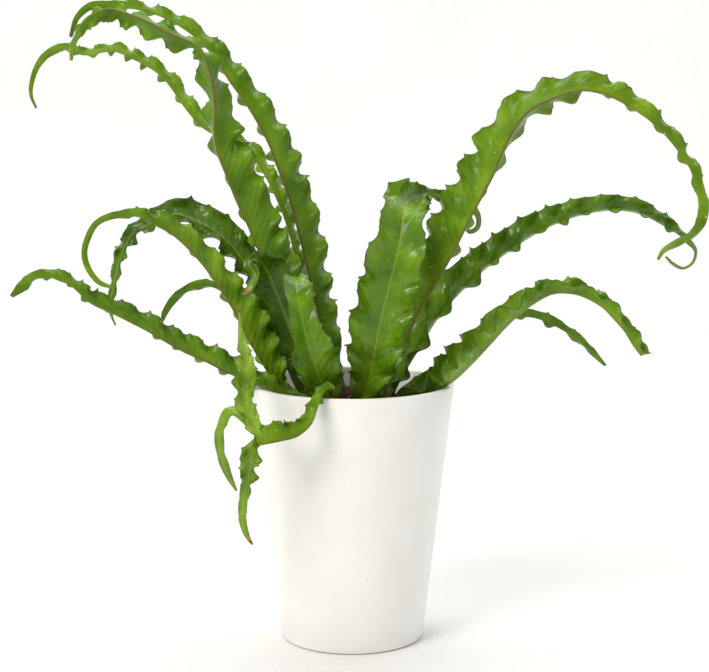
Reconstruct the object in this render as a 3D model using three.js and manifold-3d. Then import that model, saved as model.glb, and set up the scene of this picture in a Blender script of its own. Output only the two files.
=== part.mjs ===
// A potted Osaka birds nest fern: pot, potting soil, crown and fifteen waved fronds.
// Millimetres, +Z up. The origin is the centre of the pot's flat base, +Y points away from the viewer.
import * as THREE from 'three';
import { mergeVertices } from 'three/addons/utils/BufferGeometryUtils.js';
import Module from 'manifold-3d';

const wasm = await Module();
wasm.setup();

// Driving dimensions of the pot
const potHeight = 208;
const potRimRadius = 82;
const potBaseRadius = 58;
const potWall = 4.5;
const potFloor = 7;
const potFloorRadius = 55;
const potSides = 40;
const potEdge = 2;
const potLipOutside = 1.5;
const potLipInside = 1;
const potFloorCorner = 3;
const potFloorBevel = 4;
const drainHoleRadius = 5;
const drainHoleCircle = 30;
const drainHoleCount = 3;
const drainHoleSides = 12;

// Soil, with a small gap to the pot
const soilBelowRim = 22;
const soilDish = 1.5;
const soilShoulder = 12;
const soilGap = 0.3;
const soilSideGap = 0.5;
const soilFootGap = 1;

// Crown: its profile is [height from the soil, share of the crown's radius]
const crownRadius = 11;
const crownRise = 16;
const crownDepth = 12;
const crownGap = 0.4;
const crownSides = 12;
const crownLump = 0.14;
const crownSeed = 211;
const crownProfile = [
  [-crownDepth, 0.9],
  [0, 0.96],
  [crownRise * 0.45, 0.9],
  [crownRise * 0.8, 0.62],
];

// How far a cutting tool reaches past the face that it cuts
const cutPast = 5;

// Stalks stand in round holes in the soil. The heights of a stalk's foot count from the soil.
const stalkRadius = 2.6;
const stalkDepth = 14;
const stalkFootHeights = [-stalkDepth, -stalkDepth / 2, 3];
const stalkHoleRadius = 3.4;
const stalkHoleSides = 10;
const stalkTaper = 46;

// Thickness of the blades, as halves
const bladeHalfThickness = 0.5;
const ribHalfThickness = 0.9;
const stalkHalfThickness = 2.1;
const stalkThinning = 0.5;
const leastHalfWidth = 0.8;

// Waves of the margins. A wave is one bulge to the front and one to the back, and it is longer where
// the blade is wide. Lengths and heights vary from wave to wave within their spread.
const waveLengthNarrow = 24;
const waveLengthWide = 30;
const narrowHalfWidth = 8;
const wideHalfWidth = 22;
const lengthSpread = 0.56;
const heightLow = 0.5;
const heightSpread = 0.9;
const seedSkip = 5;

// Height of a wave: a share of the half width and a base, growing from this share of the way out.
// The dome makes the bulges rounder, the pinch narrows them, and the slant draws them to the tip.
const waveShare = 0.13;
const waveBase = 1.6;
const waveFrom = 0.4;
const waveDome = 0.15;
const wavePinch = 0.12;
const waveSlant = 0.3;

// Teeth of the margin stand between the bulges
const toothShare = 0.05;
const toothBase = 1.2;
const toothUneven = 0.45;

// A blade starts to fold and wave at the first half width and does so fully at the second
const foldsFrom = 2.6;
const foldsFully = 7;

// Points a wave along the margins and along the rows between them
const marginPoints = 4;
const innerPoints = 2;
const innerAcross = 0.6;

// Steps in which a route is measured, for each of its points, and the tension of its curves
const routeSteps = 16;
const routeTension = 0.5;

// Points closer than this are one point
const mergeWithin = 0.001;

// Colours and roughness
const glazeColour = '#efeeea';
const glazeRoughness = 0.35;
const soilColour = '#3a2a1e';
const soilRoughness = 0.95;
const crownColour = '#4a3420';
const crownRoughness = 0.9;
const leafRoughness = 0.4;

const soilTop = potHeight - soilBelowRim;

// Each frond: where its stalk stands, which way it arches, how sharply the blade is folded along its
// midrib, and its midrib's route as [x, y, z, half width, turn]. The turn swings the upper face of
// the blade from the inside of the arch towards the back (positive) or towards the viewer (negative).
// Ruffle and wave are factors on the height and on the length of the margin's waves.
const fronds = [
  {
    name: 'frond_tall_left_front', stem: [-17, 3], goes: 'left', seed: 11, colour: '#6f8f2e',
    fold: 60, ruffle: 1.15, wave: 0.85,
    route: [
      [-21, 4, 196, 4, 60], [-37, 3, 237, 14, 60], [-53, 3, 274, 22, 60], [-65, 3, 298, 26, 60],
      [-75, 2, 315, 28, 60], [-83, 0, 335, 28, 60], [-91, -3, 353, 28, 60], [-98, -7, 372, 27, 62],
      [-105, -12, 392, 25, 68], [-107, -15, 408, 22, 76], [-106, -18, 423, 19, 86],
      [-107, -21, 440, 19, 94], [-109, -24, 454, 16, 100], [-112, -27, 464, 8, 104],
      [-118, -30, 472, 8, 104], [-127, -34, 477, 14, 100], [-139, -38, 482, 15, 100],
      [-152, -41, 489, 13, 106], [-166, -46, 495, 11, 114], [-183, -52, 499, 10, 120],
      [-198, -58, 492, 7, 125], [-207, -62, 476, 4, 130], [-209, -63, 461, 1.5, 130],
    ],
  },
  {
    name: 'frond_tall_left_outer', stem: [-12, 17], goes: 'left', seed: 23, colour: '#67872c',
    fold: 60, ruffle: 1.25, wave: 1,
    route: [
      [-13, 18, 191, 4, 60], [-18, 27, 221, 11, 60], [-25, 37, 249, 16, 60], [-33, 45, 277, 18, 60],
      [-43, 55, 319, 21, 60], [-53, 62, 354, 21, 60], [-61, 66, 375, 21, 60], [-70, 71, 398, 20, 60],
      [-86, 77, 426, 18, 60], [-102, 82, 448, 16, 60], [-118, 86, 472, 12, 60], [-143, 90, 493, 9, 60],
      [-170, 92, 505, 7, 60], [-204, 92, 510, 4, 60], [-218, 92, 509, 3.5, 60], [-229, 92, 500, 2.5, 60],
      [-235, 92, 484, 1.5, 60],
    ],
  },
  {
    name: 'frond_thin_back_left', stem: [-4, 30], goes: 'left', seed: 35, colour: '#7a9a3c',
    fold: 58, ruffle: 1.5, wave: 0.9,
    route: [
      [-7, 33, 193, 3.5, 60], [-23, 57, 234, 6, 60], [-37, 75, 274, 8, 60], [-46, 80, 297, 8, 60],
      [-59, 94, 338, 9, 60], [-78, 106, 375, 10, 60], [-91, 111, 389, 10, 60], [-110, 115, 399, 10, 60],
      [-128, 119, 409, 10, 60], [-141, 122, 423, 10, 60], [-151, 125, 437, 10, 60],
      [-163, 128, 452, 9, 60], [-176, 131, 461, 9, 60], [-190, 134, 468, 8, 60], [-206, 137, 474, 7, 60],
      [-232, 141, 471, 6, 60], [-250, 144, 477, 4, 60], [-266, 147, 470, 3.5, 60],
      [-275, 149, 459, 2.5, 60], [-280, 150, 444, 2, 60], [-280, 150, 435, 1.5, 60],
      [-276, 150, 425, 1, 60],
    ],
  },
  {
    name: 'frond_mid_left_curled', stem: [-30, -14], goes: 'left', seed: 41, colour: '#7a9b3b',
    fold: 60, ruffle: 1.2, wave: 0.8,
    route: [
      [-38, -16, 195, 5, 62], [-56, -19, 201, 13, 62], [-67, -24, 221, 19, 62], [-80, -31, 245, 23, 62],
      [-90, -36, 267, 21, 62], [-100, -41, 285, 17, 62], [-112, -47, 304, 15, 62],
      [-124, -52, 319, 14, 62], [-136, -58, 331, 13, 62], [-149, -63, 339, 9, 62],
      [-159, -68, 345, 6, 60], [-170, -73, 347, 4, 60], [-180, -78, 346, 3, 60],
      [-190, -81, 341, 2.5, 60], [-196, -83, 331, 2.5, 60], [-199, -84, 319, 2.3, 60],
      [-196, -84, 307, 2.3, 60], [-188, -84, 297, 2, 60], [-177, -84, 293, 1, 60],
    ],
  },
  {
    name: 'frond_mid_left_dark', stem: [-32, 16], goes: 'left', seed: 57, colour: '#54731f',
    fold: 30, ruffle: 1.5, wave: 0.9,
    route: [
      [-33, 18, 191, 3.5, -52], [-51, 28, 230, 7, -52], [-67, 38, 261, 11, -52], [-80, 44, 285, 13, -52],
      [-92, 48, 303, 15, -52], [-105, 51, 318, 16, -52], [-119, 54, 328, 16, -52],
      [-134, 57, 335, 15, -52], [-146, 59, 338, 12, -52], [-159, 61, 335, 10, -52],
      [-170, 62, 328, 8.5, -52], [-180, 62, 323, 7.5, -52], [-187, 62, 313, 6.5, -52],
      [-192, 61, 302, 6, -52], [-196, 60, 288, 5, -52], [-199, 59, 274, 4, -52], [-202, 58, 262, 3, -52],
      [-200, 57, 253, 1.5, -52], [-197, 56, 246, 1, -52],
    ],
  },
  {
    name: 'frond_thin_mid_left', stem: [-34, 0], goes: 'left', seed: 63, colour: '#6c8c30',
    fold: 50, ruffle: 1.3, wave: 1,
    route: [
      [-38, 3, 195, 3, 50], [-54, 6, 221, 5, 50], [-72, 9, 247, 6, 50], [-93, 12, 273, 6, 50],
      [-111, 14, 283, 5, 50], [-119, 15, 284, 5, 50], [-130, 15, 281, 5, 50], [-142, 16, 274, 4, 50],
      [-151, 16, 262, 3, 50], [-154, 16, 253, 1, 50],
    ],
  },
  {
    name: 'frond_low_left', stem: [-32, -29], goes: 'left', seed: 71, colour: '#678829',
    fold: 60, ruffle: 1.3, wave: 0.85,
    route: [
      [-40, -32, 197, 4, 60], [-54, -36, 204, 8, 60], [-70, -39, 211, 12, 60], [-83, -43, 217, 15, 60],
      [-96, -47, 223, 15, 60], [-113, -53, 233, 14, 60], [-129, -57, 241, 14, 60],
      [-143, -62, 250, 13, 60], [-153, -66, 257, 13, 60], [-168, -71, 266, 12, 60],
      [-182, -76, 274, 11, 60], [-195, -80, 281, 10, 60], [-204, -84, 290, 7, 60],
      [-210, -86, 296, 7, 60], [-217, -88, 299, 7, 60], [-224, -90, 302, 6, 60], [-235, -92, 301, 5, 60],
      [-245, -94, 294, 4, 60], [-252, -95, 288, 1.5, 60],
    ],
  },
  {
    name: 'frond_broad_front', stem: [-10, -26], goes: 'left', seed: 83, colour: '#6b8b2c',
    fold: 25, ruffle: 0.5, wave: 0.9,
    route: [
      [-17, -31, 195, 8, -60], [-21, -38, 206, 15, -60], [-26, -46, 220, 19, -60],
      [-32, -51, 237, 19, -60], [-36, -52, 252, 14, -60], [-39, -49, 266, 12, -60],
      [-42, -43, 279, 13, -60], [-44, -33, 289, 12, -60], [-46, -18, 294, 5, -60],
    ],
  },
  {
    name: 'frond_broad_front_behind', stem: [-19, -11], goes: 'left', seed: 97, colour: '#5d7c25',
    fold: 15, ruffle: 0.8, wave: 0.8,
    route: [
      [-26, -11, 195, 4, -92], [-37, -8, 221, 10, -92], [-47, -6, 246, 16, -92], [-54, -5, 265, 17, -92],
      [-61, -5, 283, 18, -92], [-66, -7, 296, 17, -90], [-70, -14, 304, 11, -80],
      [-75, -27, 308, 6, -65], [-79, -37, 306, 5, -55], [-74, -46, 299, 4.5, -50],
      [-77, -52, 291, 3.5, -50], [-84, -54, 284, 1.5, -50],
    ],
  },
  {
    name: 'frond_broad_right', stem: [6, -20], goes: 'right', seed: 101, colour: '#6f8f2e',
    fold: 26, ruffle: 1, wave: 0.85,
    route: [
      [7, -25, 196, 9, -85], [13, -32, 215, 16, -85], [17, -39, 235, 22, -85], [22, -46, 263, 24, -85],
      [28, -49, 288, 24, -85], [33, -50, 308, 24, -85], [37, -48, 326, 19, -85], [39, -43, 340, 18, -85],
      [41, -32, 349, 18, -85], [44, -15, 354, 16, -85], [52, 0, 357, 9, -70], [61, 8, 358, 5, -60],
      [70, 13, 356, 5, -50], [80, 14, 357, 5, -45], [89, 14, 353, 4, -45], [96, 13, 347, 4, -45],
      [101, 12, 339, 3, -45], [100, 10, 331, 3, -45], [94, 8, 328, 2.5, -45], [90, 8, 331, 1, -45],
    ],
  },
  {
    name: 'frond_tall_right', stem: [19, -10], goes: 'right', seed: 113, colour: '#7b9c3c',
    fold: 60, ruffle: 1.2, wave: 1.05,
    route: [
      [23, -13, 194, 5, 60], [30, -18, 216, 13, 60], [41, -23, 242, 21, 60], [53, -27, 268, 26, 60],
      [67, -30, 293, 28, 60], [81, -33, 320, 29, 60], [90, -35, 339, 28, 60], [99, -38, 357, 28, 62],
      [108, -41, 375, 27, 66], [115, -45, 393, 25, 72], [123, -49, 410, 23, 78], [134, -54, 424, 22, 82],
      [151, -60, 433, 18, 74], [170, -66, 439, 15, 62], [188, -72, 436, 13, 54], [206, -77, 427, 11, 52],
      [224, -81, 414, 9, 52], [238, -84, 399, 7, 54], [250, -86, 382, 6, 56], [256, -87, 368, 4, 60],
      [260, -87, 355, 4, 60], [258, -87, 342, 4, 60], [252, -86, 333, 3, 60], [242, -85, 327, 3, 60],
      [232, -84, 321, 2, 60], [228, -83, 314, 1, 60],
    ],
  },
  {
    name: 'frond_second_right', stem: [28, 10], goes: 'right', seed: 127, colour: '#5f8026',
    fold: 46, ruffle: 1.4, wave: 0.95,
    route: [
      [30, 14, 191, 5, -40], [40, 20, 208, 13, -40], [54, 28, 230, 19, -40], [70, 35, 255, 22, -40],
      [88, 41, 275, 20, -38], [109, 47, 294, 18, -36], [130, 53, 309, 17, -36], [151, 59, 322, 16, -36],
      [173, 65, 332, 14, -36], [198, 71, 339, 13, -36], [223, 76, 341, 12, -36], [244, 80, 337, 10, -36],
      [260, 82, 329, 8, -36], [272, 83, 322, 6, -36], [283, 84, 314, 4, -36], [290, 84, 306, 3, -36],
      [288, 84, 296, 2.5, -36], [280, 84, 291, 2, -36], [271, 84, 295, 2, -36], [265, 84, 301, 1.2, -36],
    ],
  },
  {
    name: 'frond_low_right', stem: [34, -13], goes: 'right', seed: 131, colour: '#7a9a3a',
    fold: 50, ruffle: 1.3, wave: 0.9,
    route: [
      [41, -15, 197, 10, -15], [62, -19, 202, 21, -15], [79, -23, 212, 23, -15], [94, -27, 227, 21, -12],
      [106, -31, 241, 19, -8], [121, -36, 259, 17, -5], [132, -41, 270, 15, -5], [143, -46, 279, 13, -5],
      [154, -50, 285, 12, -5], [165, -53, 286, 11, -5], [176, -56, 284, 10, -5], [191, -59, 276, 9, -5],
      [200, -61, 267, 8, -5], [208, -62, 258, 8, -5], [215, -63, 247, 7.5, -5], [221, -64, 239, 7, -5],
    ],
  },
  {
    name: 'frond_strap_right', stem: [37, 2], goes: 'right', seed: 149, colour: '#6d8d30',
    fold: 45, ruffle: 1.3, wave: 1,
    route: [
      [44, 6, 195, 3, 45], [71, 10, 215, 5, 45], [104, 16, 242, 6, 45], [124, 20, 254, 6, 45],
      [137, 23, 258, 6, 45], [148, 25, 257, 6, 45], [157, 27, 254, 6, 45], [176, 31, 244, 5, 45],
      [195, 35, 229, 4, 45], [209, 38, 215, 1.5, 45],
    ],
  },
  {
    name: 'frond_forked_over_rim', stem: [-16, -43], goes: 'left', seed: 151, colour: '#718f33',
    fold: 58, ruffle: 1.8, wave: 0.5,
    route: [
      [-17, -56, 204, 4, 60], [-18, -69, 213, 5, 50], [-21, -82, 214, 5.5, 40], [-26, -91, 204, 7, 36],
      [-31, -97, 192, 10, 40], [-41, -101, 184, 13, 46], [-53, -103, 181, 14, 48],
      [-65, -105, 179, 10, 40], [-74, -105, 178, 3, 0],
    ],
    branches: [
      {
        goes: 'left', seed: 157, fold: 30, ruffle: 1.3, wave: 0.7,
        route: [
          [-70, -104, 181, 4, -60], [-73, -104, 172, 9, -60], [-75, -103, 161, 8, -60],
          [-78, -102, 147, 5, -60], [-81, -101, 135, 4, -60], [-82, -99, 119, 3.5, -60],
          [-79, -98, 107, 2.5, -60], [-75, -98, 100, 1, -60],
        ],
      },
      {
        goes: 'left', seed: 163, fold: 30, ruffle: 1.1, wave: 0.6,
        route: [
          [-67, -104, 181, 4.5, -60], [-72, -103, 190, 6, -60], [-77, -101, 200, 7, -60],
          [-81, -98, 209, 8, -60], [-82, -94, 219, 9.5, -60], [-81, -91, 230, 9, -60],
          [-81, -88, 244, 5.5, -60], [-83, -86, 258, 2.3, -60], [-84, -84, 277, 1, -60],
        ],
      },
      {
        goes: 'left', seed: 167, fold: 25, ruffle: 1.2, wave: 0.8,
        route: [
          [-73, -103, 189, 2.5, -60], [-81, -100, 198, 3.5, -60], [-87, -97, 202, 4, -60],
          [-93, -95, 200, 4, -60], [-96, -94, 194, 4, -60], [-99, -93, 185, 4, -60],
          [-99, -92, 173, 4, -60], [-96, -92, 161, 4, -60], [-92, -92, 150, 3, -60],
          [-87, -92, 140, 1, -60],
        ],
      },
    ],
  },
];

// Gives the same run of numbers from 0 to 1 for the same seed
function seededNumbers(seed) {
  let state = seed;
  return () => {
    state = (state * 16807) % 2147483647;
    return state / 2147483647;
  };
}

function smoothStep(low, high, value) {
  const share = Math.min(Math.max((value - low) / (high - low), 0), 1);
  return share * share * (3 - 2 * share);
}

// The stalk's straight foot in the soil, followed by the frond's own route
function fullRoute(frond) {
  const [x, y] = frond.stem;
  const turn = frond.route[0][4];
  const foot = stalkFootHeights.map((height) => [x, y, soilTop + height, stalkRadius, turn]);
  return foot.concat(frond.route);
}

// Smooth midrib: gives place, direction, half width and turn at a distance along it
function midrib(route) {
  const places = new THREE.CatmullRomCurve3(route.map((p) => new THREE.Vector3(p[0], p[1], p[2])));
  const shapes = new THREE.CatmullRomCurve3(
    route.map((p) => new THREE.Vector3(p[3], p[4], 0)), false, 'catmullrom', routeTension,
  );
  const steps = (route.length - 1) * routeSteps;
  const lengths = [0];
  for (let i = 1; i <= steps; i += 1) {
    const step = places.getPoint(i / steps).distanceTo(places.getPoint((i - 1) / steps));
    lengths.push(lengths[i - 1] + step);
  }
  const at = (distance) => {
    let i = 1;
    while (i < steps && lengths[i] < distance) i += 1;
    const share = (distance - lengths[i - 1]) / (lengths[i] - lengths[i - 1]);
    const t = Math.min(Math.max((i - 1 + share) / steps, 0), 1);
    const shape = shapes.getPoint(t);
    return {
      place: places.getPoint(t),
      along: places.getTangent(t).normalize(),
      half: Math.max(shape.x, leastHalfWidth),
      turn: THREE.MathUtils.degToRad(shape.y),
    };
  };
  return { length: lengths[steps], at };
}

// Where each wave of the margin starts, its length, and its height on the two sides
function marginWaves(line, frond) {
  const next = seededNumbers(frond.seed);
  for (let i = 0; i < seedSkip; i += 1) next();
  const waves = [];
  let start = 0;
  while (start < line.length) {
    const wide = smoothStep(narrowHalfWidth, wideHalfWidth, line.at(start).half);
    const usual = (waveLengthNarrow + (waveLengthWide - waveLengthNarrow) * wide) * frond.wave;
    const length = usual * (1 - lengthSpread / 2 + lengthSpread * next());
    waves.push({
      start,
      length,
      near: heightLow + heightSpread * next(),
      far: heightLow + heightSpread * next(),
    });
    start += length;
  }
  const scale = line.length / start;
  for (const wave of waves) {
    wave.start *= scale;
    wave.length *= scale;
  }
  return waves;
}

// A point of the blade's middle surface. Side is 1 for the near wing, -1 for the far wing, and
// across runs from 0 at the midrib to 1 at the margin.
function bladePoint(line, waves, frond, phase, side, across) {
  const index = Math.min(Math.floor(phase), waves.length - 1);
  const wave = waves[index];
  const { place, along, half, turn } = line.at(wave.start + wave.length * (phase - index));
  const depthAxis = new THREE.Vector3(0, 1, 0);
  const inside = new THREE.Vector3().crossVectors(depthAxis, along).normalize();
  if (frond.goes === 'right') inside.negate();
  const away = depthAxis.clone().addScaledVector(along, -along.y).normalize();
  const face = inside.clone().multiplyScalar(Math.cos(turn)).addScaledVector(away, Math.sin(turn));
  const sideways = inside.clone().multiplyScalar(Math.sin(turn)).addScaledVector(away, -Math.cos(turn));
  const opened = smoothStep(foldsFrom, foldsFully, half);
  const fold = THREE.MathUtils.degToRad(frond.fold) * opened;
  const open = Math.cos(fold);
  const shut = Math.sin(fold);
  const outward = sideways.clone().multiplyScalar(side * open).addScaledVector(face, shut);
  const raised = face.clone().multiplyScalar(open).addScaledVector(sideways, -side * shut);
  const angle = 2 * Math.PI * (phase - index) + (side > 0 ? 0 : Math.PI);
  const size = (side > 0 ? wave.near : wave.far) * opened;
  const reach = smoothStep(waveFrom, 1, across);
  const swing = Math.sin(angle) - waveDome * Math.sin(3 * angle);
  const height = swing * (waveShare * half + waveBase) * size * frond.ruffle * reach;
  const point = (1 - Math.abs(Math.sin(angle))) ** 2 * (1 + toothUneven * Math.cos(angle));
  const tooth = point * (toothShare * half + toothBase) * size * across ** 4;
  const pinch = wavePinch * Math.sin(2 * angle) * (wave.length / (2 * Math.PI)) * size * reach;
  const slide = waveSlant * half * across * across * opened - pinch;
  return place.clone()
    .addScaledVector(outward, half * across + tooth)
    .addScaledVector(raised, height)
    .addScaledVector(along, slide);
}

// Half the thickness of the blade, thicker at the midrib and round in the stalk
function halfThickness(distance, across, isStalk) {
  const stalk = isStalk ? 1 - smoothStep(stalkDepth, stalkTaper, distance) : 0;
  const blade = bladeHalfThickness + (ribHalfThickness - bladeHalfThickness) * (1 - across) ** 2;
  const round = stalkHalfThickness * (1 - stalkThinning * across * across);
  return blade + (round - blade) * stalk;
}

// Rows of points from one margin to the other
function bladeRows(line, waves, frond) {
  const rows = [
    { side: -1, across: 1, perWave: marginPoints },
    { side: -1, across: innerAcross, perWave: innerPoints },
    { side: 1, across: 0, perWave: innerPoints },
    { side: 1, across: innerAcross, perWave: innerPoints },
    { side: 1, across: 1, perWave: marginPoints },
  ];
  for (const row of rows) {
    row.points = [];
    row.distances = [];
    for (let i = 0; i <= waves.length * row.perWave; i += 1) {
      const phase = i / row.perWave;
      const index = Math.min(Math.floor(phase), waves.length - 1);
      row.points.push(bladePoint(line, waves, frond, phase, row.side, row.across));
      row.distances.push(waves[index].start + waves[index].length * (phase - index));
    }
  }
  return rows;
}

// Triangles between two neighbouring rows, where either may have twice the points of the other
function stripTriangles(left, right, triangles) {
  const leftDense = left.points.length > right.points.length;
  const rightDense = right.points.length > left.points.length;
  const steps = Math.min(left.points.length, right.points.length) - 1;
  for (let i = 0; i < steps; i += 1) {
    const a = left.first + (leftDense ? 2 * i : i);
    const b = right.first + (rightDense ? 2 * i : i);
    if (leftDense) {
      triangles.push([a, b, a + 1], [a + 1, b, b + 1], [a + 1, b + 1, a + 2]);
    } else if (rightDense) {
      triangles.push([a, b, b + 1], [a, b + 1, a + 1], [a + 1, b + 1, b + 2]);
    } else {
      triangles.push([a, b, a + 1], [b, b + 1, a + 1]);
    }
  }
}

// Closed blade: the middle surface is set off to both sides, with the same triangles on both faces
function bladeGeometry(frond, isStalk) {
  const line = midrib(isStalk ? fullRoute(frond) : frond.route);
  const waves = marginWaves(line, frond);
  const rows = bladeRows(line, waves, frond);
  const middle = [];
  const thickness = [];
  for (const row of rows) {
    row.first = middle.length;
    row.points.forEach((point, i) => {
      middle.push(point);
      thickness.push(halfThickness(row.distances[i], row.across, isStalk));
    });
  }
  const face = [];
  for (let i = 0; i + 1 < rows.length; i += 1) stripTriangles(rows[i], rows[i + 1], face);
  const normals = middle.map(() => new THREE.Vector3());
  for (const [a, b, c] of face) {
    const ab = middle[b].clone().sub(middle[a]);
    const ac = middle[c].clone().sub(middle[a]);
    const normal = ab.cross(ac);
    for (const corner of [a, b, c]) normals[corner].add(normal);
  }
  const count = middle.length;
  const corners = [];
  for (const sign of [1, -1]) {
    middle.forEach((point, i) => {
      const moved = point.clone().addScaledVector(normals[i].clone().normalize(), sign * thickness[i]);
      corners.push(moved.x, moved.y, moved.z);
    });
  }
  const triangles = [];
  for (const [a, b, c] of face) {
    triangles.push(a, b, c);
    triangles.push(count + a, count + c, count + b);
  }
  for (const [from, to] of outline(rows)) {
    triangles.push(from, count + from, to);
    triangles.push(to, count + from, count + to);
  }
  const geometry = new THREE.BufferGeometry();
  geometry.setAttribute('position', new THREE.Float32BufferAttribute(corners, 3));
  geometry.setIndex(triangles);
  return geometry;
}

// Edges around the blade's middle surface, in the order that closes its rim
function outline(rows) {
  const around = [];
  const leftRow = rows[0];
  const rightRow = rows[rows.length - 1];
  rows.forEach((row) => around.push(row.first));
  for (let i = 1; i < rightRow.points.length; i += 1) around.push(rightRow.first + i);
  for (let i = rows.length - 2; i >= 0; i -= 1) around.push(rows[i].first + rows[i].points.length - 1);
  for (let i = leftRow.points.length - 2; i > 0; i -= 1) around.push(leftRow.first + i);
  return around.map((from, i) => [from, around[(i + 1) % around.length]]);
}

function toSolid(geometry) {
  const bare = geometry.clone();
  bare.deleteAttribute('normal');
  bare.deleteAttribute('uv');
  const merged = mergeVertices(bare, mergeWithin);
  const mesh = new wasm.Mesh({
    numProp: 3,
    vertProperties: new Float32Array(merged.attributes.position.array),
    triVerts: new Uint32Array(merged.index.array),
  });
  return new wasm.Manifold(mesh);
}

function toGeometry(solid) {
  const mesh = solid.getMesh();
  const geometry = new THREE.BufferGeometry();
  geometry.setAttribute('position', new THREE.BufferAttribute(mesh.vertProperties, 3));
  geometry.setIndex(new THREE.BufferAttribute(mesh.triVerts, 1));
  return geometry;
}

function upright(radiusLow, radiusHigh, low, high, sides, x = 0, y = 0) {
  const geometry = new THREE.CylinderGeometry(radiusHigh, radiusLow, high - low, sides);
  geometry.rotateX(Math.PI / 2);
  geometry.translate(x, y, (low + high) / 2);
  return toSolid(geometry);
}

// Radius of the inside of the pot at a height
function innerRadius(height) {
  const share = (height - potFloor) / (potHeight - potFloor);
  return potFloorRadius + (potRimRadius - potWall - potFloorRadius) * share;
}

function turned(profile) {
  const outlinePoints = profile.map(([radius, height]) => new THREE.Vector2(radius, height));
  const geometry = new THREE.LatheGeometry(outlinePoints, potSides);
  geometry.rotateX(Math.PI / 2);
  return toSolid(geometry);
}

function makePot() {
  const profile = [
    [0, 0], [potBaseRadius - potEdge, 0], [potBaseRadius, potEdge],
    [potRimRadius, potHeight - potEdge], [potRimRadius - potLipOutside, potHeight],
    [potRimRadius - potWall + potLipInside, potHeight],
    [innerRadius(potHeight - potLipOutside), potHeight - potLipOutside],
    [innerRadius(potFloor + potFloorCorner), potFloor + potFloorCorner],
    [potFloorRadius - potFloorBevel, potFloor], [0, potFloor],
  ];
  let pot = turned(profile);
  for (let i = 0; i < drainHoleCount; i += 1) {
    const angle = (2 * Math.PI * (i + 0.5)) / drainHoleCount;
    const x = drainHoleCircle * Math.cos(angle);
    const y = drainHoleCircle * Math.sin(angle);
    const top = potFloor + cutPast;
    pot = pot.subtract(upright(drainHoleRadius, drainHoleRadius, -cutPast, top, drainHoleSides, x, y));
  }
  return toGeometry(pot);
}

function makeSoil() {
  const low = potFloor + soilGap;
  const corner = potFloor + potFloorCorner;
  let soil = turned([
    [0, low], [potFloorRadius - potFloorBevel - soilGap, low],
    [innerRadius(corner) - soilFootGap, corner + soilFootGap],
    [innerRadius(soilTop) - soilSideGap, soilTop - soilDish],
    [innerRadius(soilTop) - soilShoulder, soilTop], [0, soilTop],
  ]);
  const clearCrown = crownRadius + crownGap;
  const crownBottom = soilTop - crownDepth - soilGap;
  const top = soilTop + cutPast;
  soil = soil.subtract(upright(clearCrown, clearCrown, crownBottom, top, crownSides));
  for (const { stem } of fronds) {
    const bottom = soilTop - stalkDepth - soilGap;
    const hole = upright(stalkHoleRadius, stalkHoleRadius, bottom, top, stalkHoleSides, ...stem);
    soil = soil.subtract(hole);
  }
  return toGeometry(soil);
}

// A short lumpy knob, widest just above the soil
function makeCrown() {
  const next = seededNumbers(crownSeed);
  const levels = crownProfile.map(([height, share]) => [soilTop + height, crownRadius * share]);
  const corners = [0, 0, soilTop - crownDepth];
  for (const [height, radius] of levels) {
    for (let i = 0; i < crownSides; i += 1) {
      const angle = (2 * Math.PI * i) / crownSides;
      const lump = height > soilTop ? 1 - crownLump * next() : 1;
      corners.push(radius * lump * Math.cos(angle), radius * lump * Math.sin(angle), height);
    }
  }
  corners.push(0, 0, soilTop + crownRise);
  const triangles = [];
  const top = 1 + levels.length * crownSides;
  for (let i = 0; i < crownSides; i += 1) {
    const j = (i + 1) % crownSides;
    triangles.push(0, 1 + j, 1 + i);
    for (let level = 0; level + 1 < levels.length; level += 1) {
      const a = 1 + level * crownSides;
      const b = a + crownSides;
      triangles.push(a + i, a + j, b + j, a + i, b + j, b + i);
    }
    triangles.push(top - crownSides + i, top - crownSides + j, top);
  }
  const geometry = new THREE.BufferGeometry();
  geometry.setAttribute('position', new THREE.Float32BufferAttribute(corners, 3));
  geometry.setIndex(triangles);
  return geometry;
}

// One frond; a forked one has its branches joined on
function makeFrond(frond) {
  const geometry = bladeGeometry(frond, true);
  if (!frond.branches) return geometry;
  let solid = toSolid(geometry);
  for (const branch of frond.branches) solid = solid.add(toSolid(bladeGeometry(branch, false)));
  return toGeometry(solid);
}

function addPart(group, name, geometry, colour, roughness) {
  const material = new THREE.MeshStandardMaterial({ color: colour, roughness, metalness: 0 });
  material.name = name;
  const mesh = new THREE.Mesh(geometry, material);
  mesh.name = name;
  group.add(mesh);
}

const fern = new THREE.Group();
fern.name = 'potted_osaka_birds_nest_fern';
addPart(fern, 'pot', makePot(), glazeColour, glazeRoughness);
addPart(fern, 'potting_soil', makeSoil(), soilColour, soilRoughness);
addPart(fern, 'fern_crown', makeCrown(), crownColour, crownRoughness);
for (const frond of fronds) addPart(fern, frond.name, makeFrond(frond), frond.colour, leafRoughness);

export default fern;
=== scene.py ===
# Potted osaka birds nest fern, dressed over its CAD frame.
# Lengths in the dictionaries are millimetres and angles in the frond table degrees, unless a note says
# otherwise. The viewer looks along +Y and the pot stands on z = 0.
import math
import random
from functools import partial

import bpy
import numpy as np
from mathutils import Matrix, Vector, noise


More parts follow.
